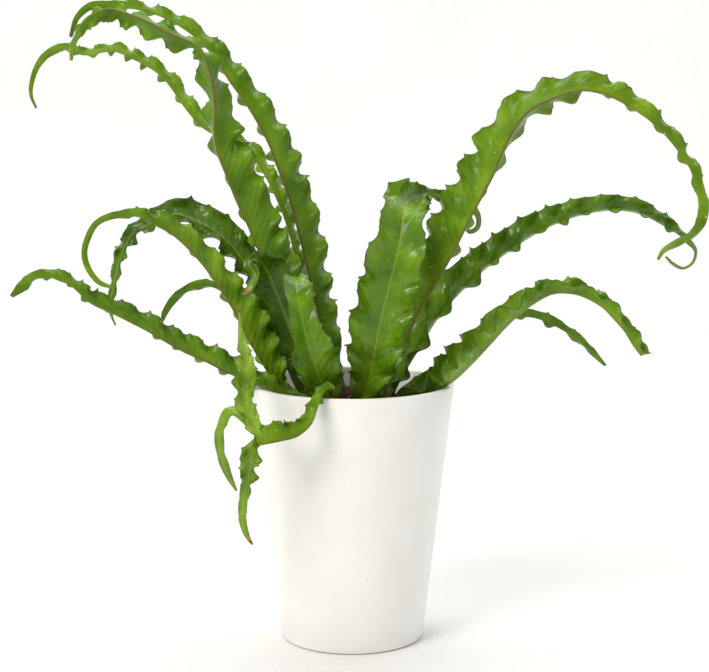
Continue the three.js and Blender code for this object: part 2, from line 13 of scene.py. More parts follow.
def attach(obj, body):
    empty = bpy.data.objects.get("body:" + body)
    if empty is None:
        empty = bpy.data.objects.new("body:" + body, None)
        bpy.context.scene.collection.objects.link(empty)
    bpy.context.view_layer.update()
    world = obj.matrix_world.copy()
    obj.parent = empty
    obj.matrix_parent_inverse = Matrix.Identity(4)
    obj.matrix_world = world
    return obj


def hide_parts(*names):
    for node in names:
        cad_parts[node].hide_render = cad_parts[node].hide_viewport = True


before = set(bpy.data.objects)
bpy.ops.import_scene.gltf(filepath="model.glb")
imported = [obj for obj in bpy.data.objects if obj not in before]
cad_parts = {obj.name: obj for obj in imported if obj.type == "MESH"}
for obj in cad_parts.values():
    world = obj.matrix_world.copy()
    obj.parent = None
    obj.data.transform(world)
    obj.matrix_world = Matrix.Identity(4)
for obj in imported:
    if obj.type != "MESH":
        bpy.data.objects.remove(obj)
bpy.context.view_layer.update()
mm = 0.001
goldenAngle = 2.399963      # radians from one scale round the crown to the next


# Small helpers

def fromHex(code):
    # sRGB hex to the linear colour that the shaders take
    parts = [int(code[i:i + 2], 16) / 255 for i in (1, 3, 5)]
    return [*(p / 12.92 if p <= 0.04045 else ((p + 0.055) / 1.055) ** 2.4 for p in parts), 1.0]


def setMode(mode):
    bpy.ops.object.mode_set(mode=mode)


def startFresh():
    if bpy.context.object and bpy.context.object.mode != "OBJECT":
        setMode("OBJECT")
    bpy.ops.object.select_all(action="DESELECT")


def pick(*pieces):
    startFresh()
    for piece in pieces:
        piece.select_set(True)
    bpy.context.view_layer.objects.active = pieces[0]


def turned(angle, axis):
    return Matrix.Rotation(angle, 4, axis)


def moved(x, y, z):
    return Matrix.Translation(Vector((x, y, z)) * mm)


def applyAll(piece):
    pick(piece)
    for modifier in list(piece.modifiers):
        bpy.ops.object.modifier_apply(modifier=modifier.name)


def finishPiece(piece, name, node, materials=(), takesPlace=True):
    # Name, materials and slot; a piece that takes its CAD node's place also hides it
    piece.name = name
    piece.data.name = name
    if materials:
        piece.data.materials.clear()
        for material in materials:
            piece.data.materials.append(material)
    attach(piece, "root")
    if takesPlace:
        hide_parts(node)


def addNode(tree, kind, settings=None, links=None, stops=None):
    # One shader node: plain settings and values for its sockets, links into it, and a ramp's stops.
    # A whole number as key is a socket's place: 1 to 4 are a Map Range's limits, 6 and 7 a Mix's colours.
    # A node given as a link stands for its first output.
    node = tree.nodes.new("ShaderNode" + kind)
    for key, value in (settings or {}).items():
        if isinstance(key, int) or (not hasattr(node, key) and key in node.inputs):
            node.inputs[key].default_value = value
        else:
            setattr(node, key, value)
    for key, source in (links or {}).items():
        socket = source.outputs[0] if isinstance(source, bpy.types.Node) else source
        tree.links.new(socket, node.inputs[key])
    if stops:
        ramp = node.color_ramp
        while len(ramp.elements) < len(stops):
            ramp.elements.new(0.5)
        for element, (position, colour) in zip(ramp.elements, stops):
            element.position = position
            element.color = fromHex(colour) if isinstance(colour, str) else (colour, colour, colour, 1)
    return node


def newMaterial(name, settings=None):
    material = bpy.data.materials.new(name)
    material.use_nodes = True
    material.node_tree.nodes.clear()
    add = partial(addNode, material.node_tree)
    shader = add("BsdfPrincipled", settings)
    add("OutputMaterial", links={"Surface": shader})
    inObject = {"Vector": add("TexCoord").outputs["Object"]}
    return material, add, shader, inObject


def dress(material, shader, colour, roughness, height=None, strength=0, depth=0):
    # Colour, roughness and relief of a surface; the roughness is a number or a node, the depth in mm
    tree = material.node_tree
    tree.links.new(colour, shader.inputs["Base Color"])
    if isinstance(roughness, float):
        shader.inputs["Roughness"].default_value = roughness
    else:
        tree.links.new(roughness.outputs[0], shader.inputs["Roughness"])
    if height:
        bump = addNode(tree, "Bump", {"Strength": strength, "Distance": depth * mm}, {"Height": height})
        tree.links.new(bump.outputs["Normal"], shader.inputs["Normal"])


# Camera, at the photograph's viewing angle

camera = {"target": (2, 0, 245), "distance": 1339, "degreesAbove": 8, "lens": 85, "sensor": 36}


def placeCamera():
    tilt = math.radians(camera["degreesAbove"])
    x, y, z = camera["target"]
    startFresh()
    bpy.ops.object.camera_add(
        location=(x * mm, (y - camera["distance"] * math.cos(tilt)) * mm,
                  (z + camera["distance"] * math.sin(tilt)) * mm),
        rotation=(math.pi / 2 - tilt, 0, 0))
    made = bpy.context.object
    made.name = "photoCamera"
    made.data.lens = camera["lens"]
    made.data.sensor_width = camera["sensor"]
    bpy.context.scene.camera = made
    print("camera placed")


# The leaf is a living fern blade: a waxy, glossy cuticle over soft green tissue, with fine slanting side
# veins and soft pleats. The upper face has a paler rib, and the under face a brown rib and less gloss.

leafColours = {
    "fresh": {"dark": "#527606", "mid": "#668c10", "light": "#7ca01e"},
    "mid": {"dark": "#466a04", "mid": "#59800a", "light": "#6f9518"},
    # The darkest set below is partly a frond's own deeper green and partly painted shade, for the fronds
    # that lie in shadow behind others.
    "deep": {"dark": "#345402", "mid": "#456806", "light": "#587c10"},
    "pale": {"dark": "#648a12", "mid": "#7fa426", "light": "#9dbc42"},
}
leafLook = {
    "patch": 22,                    # size of the lighter and darker patches
    "wipeScale": 160.0, "grainScale": 700.0,    # for the gloss and the skin, per metre
    "veinSpacing": 3.4,             # side veins
    "veinSlant": 0.75,              # along the rib for each mm out
    "veinWaver": 0.5,               # how far the veins wander
    "pleatSpacing": 7.5,            # broad soft pleats between the veins
    "pleatHeight": 2.6,             # against the height of a vein
    "grainHeight": 0.55,            # fine grain of the skin, against the height of a vein
    "ribHalf": 0.9,
    "speckSpacing": 8,              # places where a speck of dust can lie
    "speckEdge": (0.06, 0.085),     # where a speck fades, as a share of that spacing
    "speckDraw": 0.6,               # a place has its speck when its own random number is above this
    "margin": "#2f4d0c", "foot": "#3b2a14", "dust": "#d5e2bd", "straw": "#c2b04e", "dried": "#7a4a22",
}
faceLook = {
    "upper": {"veins": 0.16, "ribColour": "#80a02a", "rib": 0.7, "narrowRib": 0.55,
              "roughness": (0.2, 0.3), "specular": 0.32, "coat": 0.14},
    "under": {"veins": 0.12, "ribColour": "#6a6424", "rib": 0.85, "narrowRib": 0.15,
              "roughness": (0.26, 0.38), "specular": 0.22, "coat": 0.06},
}
placeUnit = 10      # mm in one unit of the bladePlace map


def bladeMaterial(name, colours, face, driedFrom):
    # bladePlace is the place along and across the leaf. bladeFacts holds the share out to the margin,
    # the share along to the tip, and the half width as a share of the widest.
    material, add, shader, inObject = newMaterial(name, {
        "IOR": 1.45, "Specular IOR Level": face["specular"],
        "Coat Weight": face["coat"], "Coat Roughness": 0.14})
    place = add("UVMap", {"uv_map": "bladePlace"})
    split = add("SeparateXYZ", links={0: place.outputs["UV"]})
    facts = add("Attribute", {"attribute_name": "bladeFacts"})
    shares = add("SeparateColor", links={0: facts.outputs["Color"]})
    toMargin, toTip, breadth = shares.outputs
    out = add("Math", {"operation": "ABSOLUTE"}, {0: split.outputs["Y"]})

    # patches of lighter and darker tissue
    patches = add("TexNoise",
                  {"Scale": 1 / (leafLook["patch"] * mm), "Detail": 3.0, "Roughness": 0.55}, inObject)
    tissue = add("ValToRGB", links={0: patches},
                 stops=[(0.32, colours["dark"]), (0.5, colours["mid"]), (0.7, colours["light"])])

    # slanting side veins and pleats, a little wavy
    waver = add("TexNoise", {"Scale": 0.8, "Detail": 2.0}, {"Vector": place.outputs["UV"]})
    slanted = add("Math", {"operation": "MULTIPLY_ADD", 1: -leafLook["veinSlant"]},
                  {0: out, 2: split.outputs["X"]})
    swayed = add("Math", {"operation": "MULTIPLY_ADD", 1: leafLook["veinWaver"]}, {0: waver, 2: slanted})
    ridges = []
    for spacing in (leafLook["veinSpacing"], leafLook["pleatSpacing"]):
        turns = add("Math", {"operation": "MULTIPLY", 1: 2 * math.pi * placeUnit / spacing}, {0: swayed})
        ridges.append(add("Math", {"operation": "SINE"}, {0: turns}))
    veins, pleats = ridges
    veinShare = add("MapRange", {1: 0.2, 2: 1.0, 3: 0.0, 4: face["veins"]}, {0: veins})

    # the margin is a darker line
    edge = add("MapRange", {1: 0.93, 2: 0.985, 3: 0.0, 4: 0.6}, {0: toMargin})

    # the rib, fainter where the leaf is narrow
    ribWidth = leafLook["ribHalf"] / placeUnit
    line = add("MapRange", {1: ribWidth * 0.7, 2: ribWidth * 1.7, 3: face["rib"], 4: 0.0}, {0: out})
    wide = add("MapRange", {1: 0.22, 2: 0.5, 3: face["narrowRib"], 4: 1.0}, {0: breadth})
    rib = add("Math", {"operation": "MULTIPLY"}, {0: line, 1: wide})

    # brown foot of the stalk, which turns green over its first 55 mm
    fromFoot = add("Math", {"operation": "MULTIPLY", 1: 0.1}, {0: split.outputs["X"]})
    foot = add("ValToRGB", links={0: fromFoot},
               stops=[(0.0, 1.0), (0.14, 0.95), (0.32, 0.35), (0.55, 0.0)])

    # a few pale specks of dust
    cells = add("TexVoronoi", {"Scale": 1 / (leafLook["speckSpacing"] * mm)}, inObject)
    inner, outer = leafLook["speckEdge"]
    near = add("MapRange", {1: inner, 2: outer, 3: 0.7, 4: 0.0}, {0: cells.outputs["Distance"]})
    draw = add("SeparateColor", links={0: cells.outputs["Color"]})
    chosen = add("Math", {"operation": "GREATER_THAN", 1: leafLook["speckDraw"]}, {0: draw})
    dust = add("Math", {"operation": "MULTIPLY"}, {0: near, 1: chosen})

    # each of these lies over the ones before it
    colour = tissue.outputs[0]
    for share, shade in ((veinShare, colours["dark"]), (edge, leafLook["margin"]), (rib, face["ribColour"]),
                         (foot, leafLook["foot"]), (dust, leafLook["dust"])):
        mixed = add("Mix", {"data_type": "RGBA", 7: fromHex(shade)}, {0: share, 6: colour})
        colour = mixed.outputs[2]

    if driedFrom:
        # the last stretch has dried to straw and brown
        grain = add("Math", {"operation": "MULTIPLY_ADD", 1: 0.05}, {0: patches, 2: toTip})
        straw = add("MapRange", {1: driedFrom, 2: driedFrom + 0.04, 3: 0.0, 4: 0.9}, {0: grain})
        tones = [(driedFrom + 0.01, leafLook["straw"]), (min(driedFrom + 0.05, 1), leafLook["dried"])]
        brown = add("ValToRGB", links={0: grain}, stops=tones)
        dried = add("Mix", {"data_type": "RGBA"}, {0: straw, 6: colour, 7: brown})
        colour = dried.outputs[2]

    # gloss of the cuticle, a little uneven
    wipe = add("TexNoise", {"Scale": leafLook["wipeScale"], "Detail": 2.0}, inObject)
    smooth, dull = face["roughness"]
    gloss = add("MapRange", {1: 0.3, 2: 0.7, 3: smooth, 4: dull}, {0: wipe})
    fine = add("TexNoise", {"Scale": leafLook["grainScale"], "Detail": 2.0}, inObject)
    relief = add("Math", {"operation": "MULTIPLY_ADD", 1: leafLook["grainHeight"]}, {0: fine, 2: veins})
    pleated = add("Math", {"operation": "MULTIPLY_ADD", 1: leafLook["pleatHeight"]},
                  {0: pleats, 2: relief})
    dress(material, shader, colour, gloss, pleated, 0.4, 0.1)
    return material


# Fronds, each from its own route, with waved and toothed margins as in the CAD

# One wave is one bulge to the front and one to the back. Heights and lengths differ from wave to wave.
waves = {
    "long": 30, "short": 24,            # length on the wide and on the narrow parts
    "narrowHalf": 8, "wideHalf": 22,    # half widths that count as narrow and wide
    "lengthLow": 0.72, "lengthSpread": 0.56, "heightLow": 0.5, "heightSpread": 0.9,
    "skipped": 5,                       # random numbers left out before the first wave
    "share": 0.13, "base": 1.6,         # height: share of the half width, and what is added to it
    "dome": 0.15,                       # fuller bulges
    "pinch": 0.12,                      # how far the margin gathers between two bulges
    "slant": 0.3,                       # how far the folds lean to the tip, share of the half width
    "tooth": 0.05, "toothBase": 1.2,    # teeth where the margin crosses over: share and what is added
    "uneven": 0.45,                     # every second tooth is smaller by this
    "from": 0.4,                        # share of the way out where the waves start
    "opens": (2.6, 7),                  # half widths over which fold and waves come in
}
blade = {
    "thick": 0.9, "ribThick": 2.0, "stalkThick": 4.3,
    "ribFlank": 0.75,                   # thickness beside the rib's crest, as a share
    "marginLoss": 0.25, "stalkEdgeLoss": 0.55,
    "narrowThick": 0.45, "fullThickOver": 14,
    "leastHalf": 0.8, "widestHalf": 30,
    "ribLimit": 0.3,                    # the rib takes at most this share of the half width
    "pastFoot": 80,                     # a branch starts this far along, past the brown foot
    "ribSteps": 16, "perWave": 20,
    "columns": (0, 0.08, 0.22, 0.36, 0.48, 0.58, 0.67, 0.75, 0.82, 0.88, 0.93, 0.97, 1.0),
    "stalkFoot": (-14, -7, 3), "stalkRadius": 2.6, "stalkTaper": (14, 46),
}
soilTop = 186

# Each frond: where its stalk stands, whether it arches right instead of left, how sharply it is folded
# along its rib, the height of its ruffles, the length of its waves, where a tip has dried, and its rib's
# route as [x, y, z, half width, turn of the upper face]. A turn left out is that of the point before.
fronds = [{
  "name": "tall_left_front", "stem": [-17, 3],
  "fold": 60, "seed": 11, "ruffle": 1.15, "wave": 0.85, "tint": "mid",
  "route": [
    [-21, 4, 196, 4, 60], [-37, 3, 237, 14], [-53, 3, 274, 22], [-65, 3, 298, 26], [-75, 2, 315, 28],
    [-83, 0, 335, 28], [-91, -3, 353, 28], [-98, -7, 372, 27, 62], [-105, -12, 392, 25, 68],
    [-107, -15, 408, 22, 76], [-106, -18, 423, 19, 86], [-107, -21, 440, 19, 94],
    [-109, -24, 454, 16, 100], [-112, -27, 464, 8, 104], [-118, -30, 472, 8], [-127, -34, 477, 14, 100],
    [-139, -38, 482, 15], [-152, -41, 489, 13, 106], [-166, -46, 495, 11, 114],
    [-183, -52, 499, 10, 120], [-198, -58, 492, 7, 125], [-207, -62, 476, 4, 130], [-209, -63, 461, 1.5],
  ],
}, {
  "name": "tall_left_outer", "stem": [-12, 17],
  "fold": 60, "seed": 23, "ruffle": 1.25, "wave": 1.0, "tint": "mid",
  "route": [
    [-13, 18, 191, 4, 60], [-18, 27, 221, 11], [-25, 37, 249, 16], [-33, 45, 277, 18],
    [-43, 55, 319, 21], [-53, 62, 354, 21], [-61, 66, 375, 21], [-70, 71, 398, 20], [-86, 77, 426, 18],
    [-102, 82, 448, 16], [-118, 86, 472, 12], [-143, 90, 493, 9], [-170, 92, 505, 7], [-204, 92, 510, 4],
    [-218, 92, 509, 3.5], [-229, 92, 500, 2.5], [-235, 92, 484, 1.5],
  ],
}, {
  "name": "thin_back_left", "stem": [-4, 30],
  "fold": 58, "seed": 35, "ruffle": 1.5, "wave": 0.9, "tint": "fresh",
  "route": [
    [-7, 33, 193, 3.5, 60], [-23, 57, 234, 6], [-37, 75, 274, 8], [-46, 80, 297, 8], [-59, 94, 338, 9],
    [-78, 106, 375, 10], [-91, 111, 389, 10], [-110, 115, 399, 10], [-128, 119, 409, 10],
    [-141, 122, 423, 10], [-151, 125, 437, 10], [-163, 128, 452, 9], [-176, 131, 461, 9],
    [-190, 134, 468, 8], [-206, 137, 474, 7], [-232, 141, 471, 6], [-250, 144, 477, 4],
    [-266, 147, 470, 3.5], [-275, 149, 459, 2.5], [-280, 150, 444, 2], [-280, 150, 435, 1.5],
    [-276, 150, 425, 1],
  ],
}, {
  "name": "mid_left_curled", "stem": [-30, -14],
  "fold": 60, "seed": 41, "ruffle": 1.2, "wave": 0.8, "tint": "fresh",
  "route": [
    [-38, -16, 195, 5, 62], [-56, -19, 201, 13], [-67, -24, 221, 19], [-80, -31, 245, 23],
    [-90, -36, 267, 21], [-100, -41, 285, 17], [-112, -47, 304, 15], [-124, -52, 319, 14],
    [-136, -58, 331, 13], [-149, -63, 339, 9], [-159, -68, 345, 6, 60], [-170, -73, 347, 4],
    [-180, -78, 346, 3], [-190, -81, 341, 2.5], [-196, -83, 331, 2.5], [-199, -84, 319, 2.3],
    [-196, -84, 307, 2.3], [-188, -84, 297, 2], [-177, -84, 293, 1],
  ],
}, {
  "name": "mid_left_dark", "stem": [-32, 16],
  # darkest tint: partly its own deeper green, partly painted shade where it lies behind other fronds
  "fold": 30, "seed": 57, "ruffle": 1.5, "wave": 0.9, "tint": "deep",
  "route": [
    [-33, 18, 191, 3.5, -52], [-51, 28, 230, 7], [-67, 38, 261, 11], [-80, 44, 285, 13],
    [-92, 48, 303, 15], [-105, 51, 318, 16], [-119, 54, 328, 16], [-134, 57, 335, 15],
    [-146, 59, 338, 12], [-159, 61, 335, 10], [-170, 62, 328, 8.5], [-180, 62, 323, 7.5],
    [-187, 62, 313, 6.5], [-192, 61, 302, 6], [-196, 60, 288, 5], [-199, 59, 274, 4], [-202, 58, 262, 3],
    [-200, 57, 253, 1.5], [-197, 56, 246, 1],
  ],
}, {
  "name": "thin_mid_left", "stem": [-34, 0],
  "fold": 50, "seed": 63, "ruffle": 1.3, "wave": 1.0, "tint": "mid",
  "route": [
    [-38, 3, 195, 3, 50], [-54, 6, 221, 5], [-72, 9, 247, 6], [-93, 12, 273, 6], [-111, 14, 283, 5],
    [-119, 15, 284, 5], [-130, 15, 281, 5], [-142, 16, 274, 4], [-151, 16, 262, 3], [-154, 16, 253, 1],
  ],
}, {
  "name": "low_left", "stem": [-32, -29],
  "fold": 60, "seed": 71, "ruffle": 1.3, "wave": 0.85, "tint": "mid",
  "route": [
    [-40, -32, 197, 4, 60], [-54, -36, 204, 8], [-70, -39, 211, 12], [-83, -43, 217, 15],
    [-96, -47, 223, 15], [-113, -53, 233, 14], [-129, -57, 241, 14], [-143, -62, 250, 13],
    [-153, -66, 257, 13], [-168, -71, 266, 12], [-182, -76, 274, 11], [-195, -80, 281, 10],
    [-204, -84, 290, 7], [-210, -86, 296, 7], [-217, -88, 299, 7], [-224, -90, 302, 6],
    [-235, -92, 301, 5], [-245, -94, 294, 4], [-252, -95, 288, 1.5],
  ],
}, {
  "name": "broad_front", "stem": [-10, -26],
  "fold": 25, "seed": 83, "ruffle": 0.5, "wave": 0.9, "tint": "mid",
  "route": [
    [-17, -31, 195, 8, -60], [-21, -38, 206, 15], [-26, -46, 220, 19], [-32, -51, 237, 19],
    [-36, -52, 252, 14], [-39, -49, 266, 12], [-42, -43, 279, 13], [-44, -33, 289, 12],
    [-46, -18, 294, 5],
  ],
}, {
  "name": "broad_front_behind", "stem": [-19, -11],
  # darkest tint: partly its own deeper green, partly painted shade where it lies behind other fronds
  "fold": 15, "seed": 97, "ruffle": 0.8, "wave": 0.8, "tint": "deep", "dry": 0.98,
  "route": [
    [-26, -11, 195, 4, -92], [-37, -8, 221, 10], [-47, -6, 246, 16], [-54, -5, 265, 17],
    [-61, -5, 283, 18], [-66, -7, 296, 17, -90], [-70, -14, 304, 11, -80], [-75, -27, 308, 6, -65],
    [-79, -37, 306, 5, -55], [-74, -46, 299, 4.5, -50], [-77, -52, 291, 3.5], [-84, -54, 284, 1.5],
  ],
}, {
  "name": "broad_right", "stem": [6, -20], "goes": "right",
  "fold": 26, "seed": 101, "ruffle": 1.0, "wave": 0.85, "tint": "mid",
  "route": [
    [7, -25, 196, 9, -85], [13, -32, 215, 16], [17, -39, 235, 22], [22, -46, 263, 24],
    [28, -49, 288, 24], [33, -50, 308, 24], [37, -48, 326, 19], [39, -43, 340, 18], [41, -32, 349, 18],
    [44, -15, 354, 16], [52, 0, 357, 9, -70], [61, 8, 358, 5, -60], [70, 13, 356, 5, -50],
    [80, 14, 357, 5, -45], [89, 14, 353, 4], [96, 13, 347, 4], [101, 12, 339, 3], [100, 10, 331, 3],
    [94, 8, 328, 2.5], [90, 8, 331, 1],
  ],
}, {
  "name": "tall_right", "stem": [19, -10], "goes": "right",
  "fold": 60, "seed": 113, "ruffle": 1.2, "wave": 1.05, "tint": "fresh",
  "route": [
    [23, -13, 194, 5, 60], [30, -18, 216, 13], [41, -23, 242, 21], [53, -27, 268, 26],
    [67, -30, 293, 28], [81, -33, 320, 29], [90, -35, 339, 28], [99, -38, 357, 28, 62],
    [108, -41, 375, 27, 66], [115, -45, 393, 25, 72], [123, -49, 410, 23, 78], [134, -54, 424, 22, 82],
    [151, -60, 433, 18, 74], [170, -66, 439, 15, 62], [188, -72, 436, 13, 54], [206, -77, 427, 11, 52],
    [224, -81, 414, 9], [238, -84, 399, 7, 54], [250, -86, 382, 6, 56], [256, -87, 368, 4, 60],
    [260, -87, 355, 4], [258, -87, 342, 4], [252, -86, 333, 3], [242, -85, 327, 3], [232, -84, 321, 2],
    [228, -83, 314, 1],
  ],
}, {
  "name": "second_right", "stem": [28, 10], "goes": "right",
  "fold": 46, "seed": 127, "ruffle": 1.4, "wave": 0.95, "tint": "mid",
  "route": [
    [30, 14, 191, 5, -40], [40, 20, 208, 13], [54, 28, 230, 19], [70, 35, 255, 22],
    [88, 41, 275, 20, -38], [109, 47, 294, 18, -36], [130, 53, 309, 17], [151, 59, 322, 16],
    [173, 65, 332, 14], [198, 71, 339, 13], [223, 76, 341, 12], [244, 80, 337, 10], [260, 82, 329, 8],
    [272, 83, 322, 6], [283, 84, 314, 4], [290, 84, 306, 3], [288, 84, 296, 2.5], [280, 84, 291, 2],
    [271, 84, 295, 2], [265, 84, 301, 1.2],
  ],
}, {
  "name": "low_right", "stem": [34, -13], "goes": "right",
  "fold": 50, "seed": 131, "ruffle": 1.3, "wave": 0.9, "tint": "fresh",
  "route": [
    [41, -15, 197, 10, -15], [62, -19, 202, 21], [79, -23, 212, 23], [94, -27, 227, 21, -12],
    [106, -31, 241, 19, -8], [121, -36, 259, 17, -5], [132, -41, 270, 15], [143, -46, 279, 13],
    [154, -50, 285, 12], [165, -53, 286, 11], [176, -56, 284, 10], [191, -59, 276, 9],
    [200, -61, 267, 8], [208, -62, 258, 8], [215, -63, 247, 7.5], [221, -64, 239, 7],
  ],
}, {
  "name": "strap_right", "stem": [37, 2], "goes": "right",
  "fold": 45, "seed": 149, "ruffle": 1.3, "wave": 1.0, "tint": "mid",
  "route": [
    [44, 6, 195, 3, 45], [71, 10, 215, 5], [104, 16, 242, 6], [124, 20, 254, 6], [137, 23, 258, 6],
    [148, 25, 257, 6], [157, 27, 254, 6], [176, 31, 244, 5], [195, 35, 229, 4], [209, 38, 215, 1.5],
  ],
}, {
  "name": "forked_over_rim", "stem": [-16, -43],
  "fold": 58, "seed": 151, "ruffle": 1.8, "wave": 0.5, "tint": "fresh",
  "route": [
    [-17, -56, 204, 4, 60], [-18, -69, 213, 5, 50], [-21, -82, 214, 5.5, 40], [-26, -91, 204, 7, 36],
    [-31, -97, 192, 10, 40], [-41, -101, 184, 13, 46], [-53, -103, 181, 14, 48],
    [-65, -105, 179, 10, 40], [-74, -105, 178, 3, 0],
  ],
  "branches": [{
    "fold": 30, "seed": 157, "ruffle": 1.3, "wave": 0.7, "tint": "fresh", "dry": 0.93,
    "route": [
      [-70, -104, 181, 4, -60], [-73, -104, 172, 9], [-75, -103, 161, 8], [-78, -102, 147, 5],
      [-81, -101, 135, 4], [-82, -99, 119, 3.5], [-79, -98, 107, 2.5], [-75, -98, 100, 1],
    ],
  }, {
    "fold": 30, "seed": 163, "ruffle": 1.1, "wave": 0.6, "tint": "pale", "dry": 0.97,
    "route": [
      [-67, -104, 181, 4.5, -60], [-72, -103, 190, 6], [-77, -101, 200, 7], [-81, -98, 209, 8],
      [-82, -94, 219, 9.5], [-81, -91, 230, 9], [-81, -88, 244, 5.5], [-83, -86, 258, 2.3],
      [-84, -84, 277, 1],
    ],
  }, {
    "fold": 25, "seed": 167, "ruffle": 1.2, "wave": 0.8, "tint": "fresh",
    "route": [
      [-73, -103, 189, 2.5, -60], [-81, -100, 198, 3.5], [-87, -97, 202, 4], [-93, -95, 200, 4],
      [-96, -94, 194, 4], [-99, -93, 185, 4], [-99, -92, 173, 4], [-96, -92, 161, 4], [-92, -92, 150, 3],
      [-87, -92, 140, 1],
    ],
  }],
}]


def seededNumbers(seed):
    # The same plain generator as in the CAD, so that both draw the same waves
    while True:
        seed = seed * 16807 % 2147483647
        yield seed / 2147483647


def smoothStep(low, high, value):
    share = np.clip((value - low) / (high - low), 0, 1)
    return share * share * (3 - 2 * share)


def unit(vectors):
    return vectors / np.maximum(np.linalg.norm(vectors, axis=-1, keepdims=True), 1e-12)


def splineAt(points, shares, isEven):
    # Smooth curve through the points. The even kind is for widths and turns, the other for places.
    points = np.asarray(points, float)
    spans = len(points) - 1
    place = np.clip(shares, 0, 1) * spans
    index = np.minimum(place.astype(int), spans - 1)
    t = (place - index)[:, None]
    padded = np.vstack([2 * points[0] - points[1], points, 2 * points[-1] - points[-2]])
    p0, p1, p2, p3 = (padded[index + k] for k in range(4))
    if isEven:
        m1, m2 = (p2 - p0) / 2, (p3 - p1) / 2
    else:
        pairs = ((p0, p1), (p1, p2), (p2, p3))
        d0, d1, d2 = (np.linalg.norm(b - a, axis=1)[:, None] ** 0.5 for a, b in pairs)
        m1 = ((p1 - p0) / d0 - (p2 - p0) / (d0 + d1) + (p2 - p1) / d1) * d1
        m2 = ((p2 - p1) / d1 - (p3 - p1) / (d1 + d2) + (p3 - p2) / d2) * d1
    return p1 + m1 * t + (3 * (p2 - p1) - 2 * m1 - m2) * t ** 2 + (2 * (p1 - p2) + m1 + m2) * t ** 3


def traceRib(route):
    # Places, directions, half widths and turns along the rib, by distance
    places = [point[:3] for point in route]
    shapes = [point[3:] for point in route]
    shares = np.linspace(0, 1, (len(route) - 1) * blade["ribSteps"] + 1)
    steps = np.linalg.norm(np.diff(splineAt(places, shares, False), axis=0), axis=1)
    lengths = np.concatenate([[0], np.cumsum(steps)])
    nearby = 1e-4

    def at(distance):
        t = np.interp(distance, lengths, shares)
        shape = splineAt(shapes, t, True)
        ahead = splineAt(places, np.minimum(t + nearby, 1), False)
        behind = splineAt(places, np.maximum(t - nearby, 0), False)
        half = np.maximum(shape[:, 0], blade["leastHalf"])
        return splineAt(places, t, False), unit(ahead - behind), half, np.radians(shape[:, 1])

    return lengths[-1], at


def marginWaves(length, at, seed, stretch):
    # Start, length, near size and far size of each wave
    numbers = seededNumbers(seed)
    for _ in range(waves["skipped"]):
        next(numbers)
    rows, start = [], 0.0
    while start < length:
        half = at(np.array([start]))[2][0]
        wide = smoothStep(waves["narrowHalf"], waves["wideHalf"], half)
        usual = (waves["short"] + (waves["long"] - waves["short"]) * wide) * stretch
        size = usual * (waves["lengthLow"] + waves["lengthSpread"] * next(numbers))
        near, far = (waves["heightLow"] + waves["heightSpread"] * next(numbers) for _ in range(2))
        rows.append([start, size, near, far])
        start += size
    rows = np.array(rows)
    rows[:, :2] *= length / start
    return rows


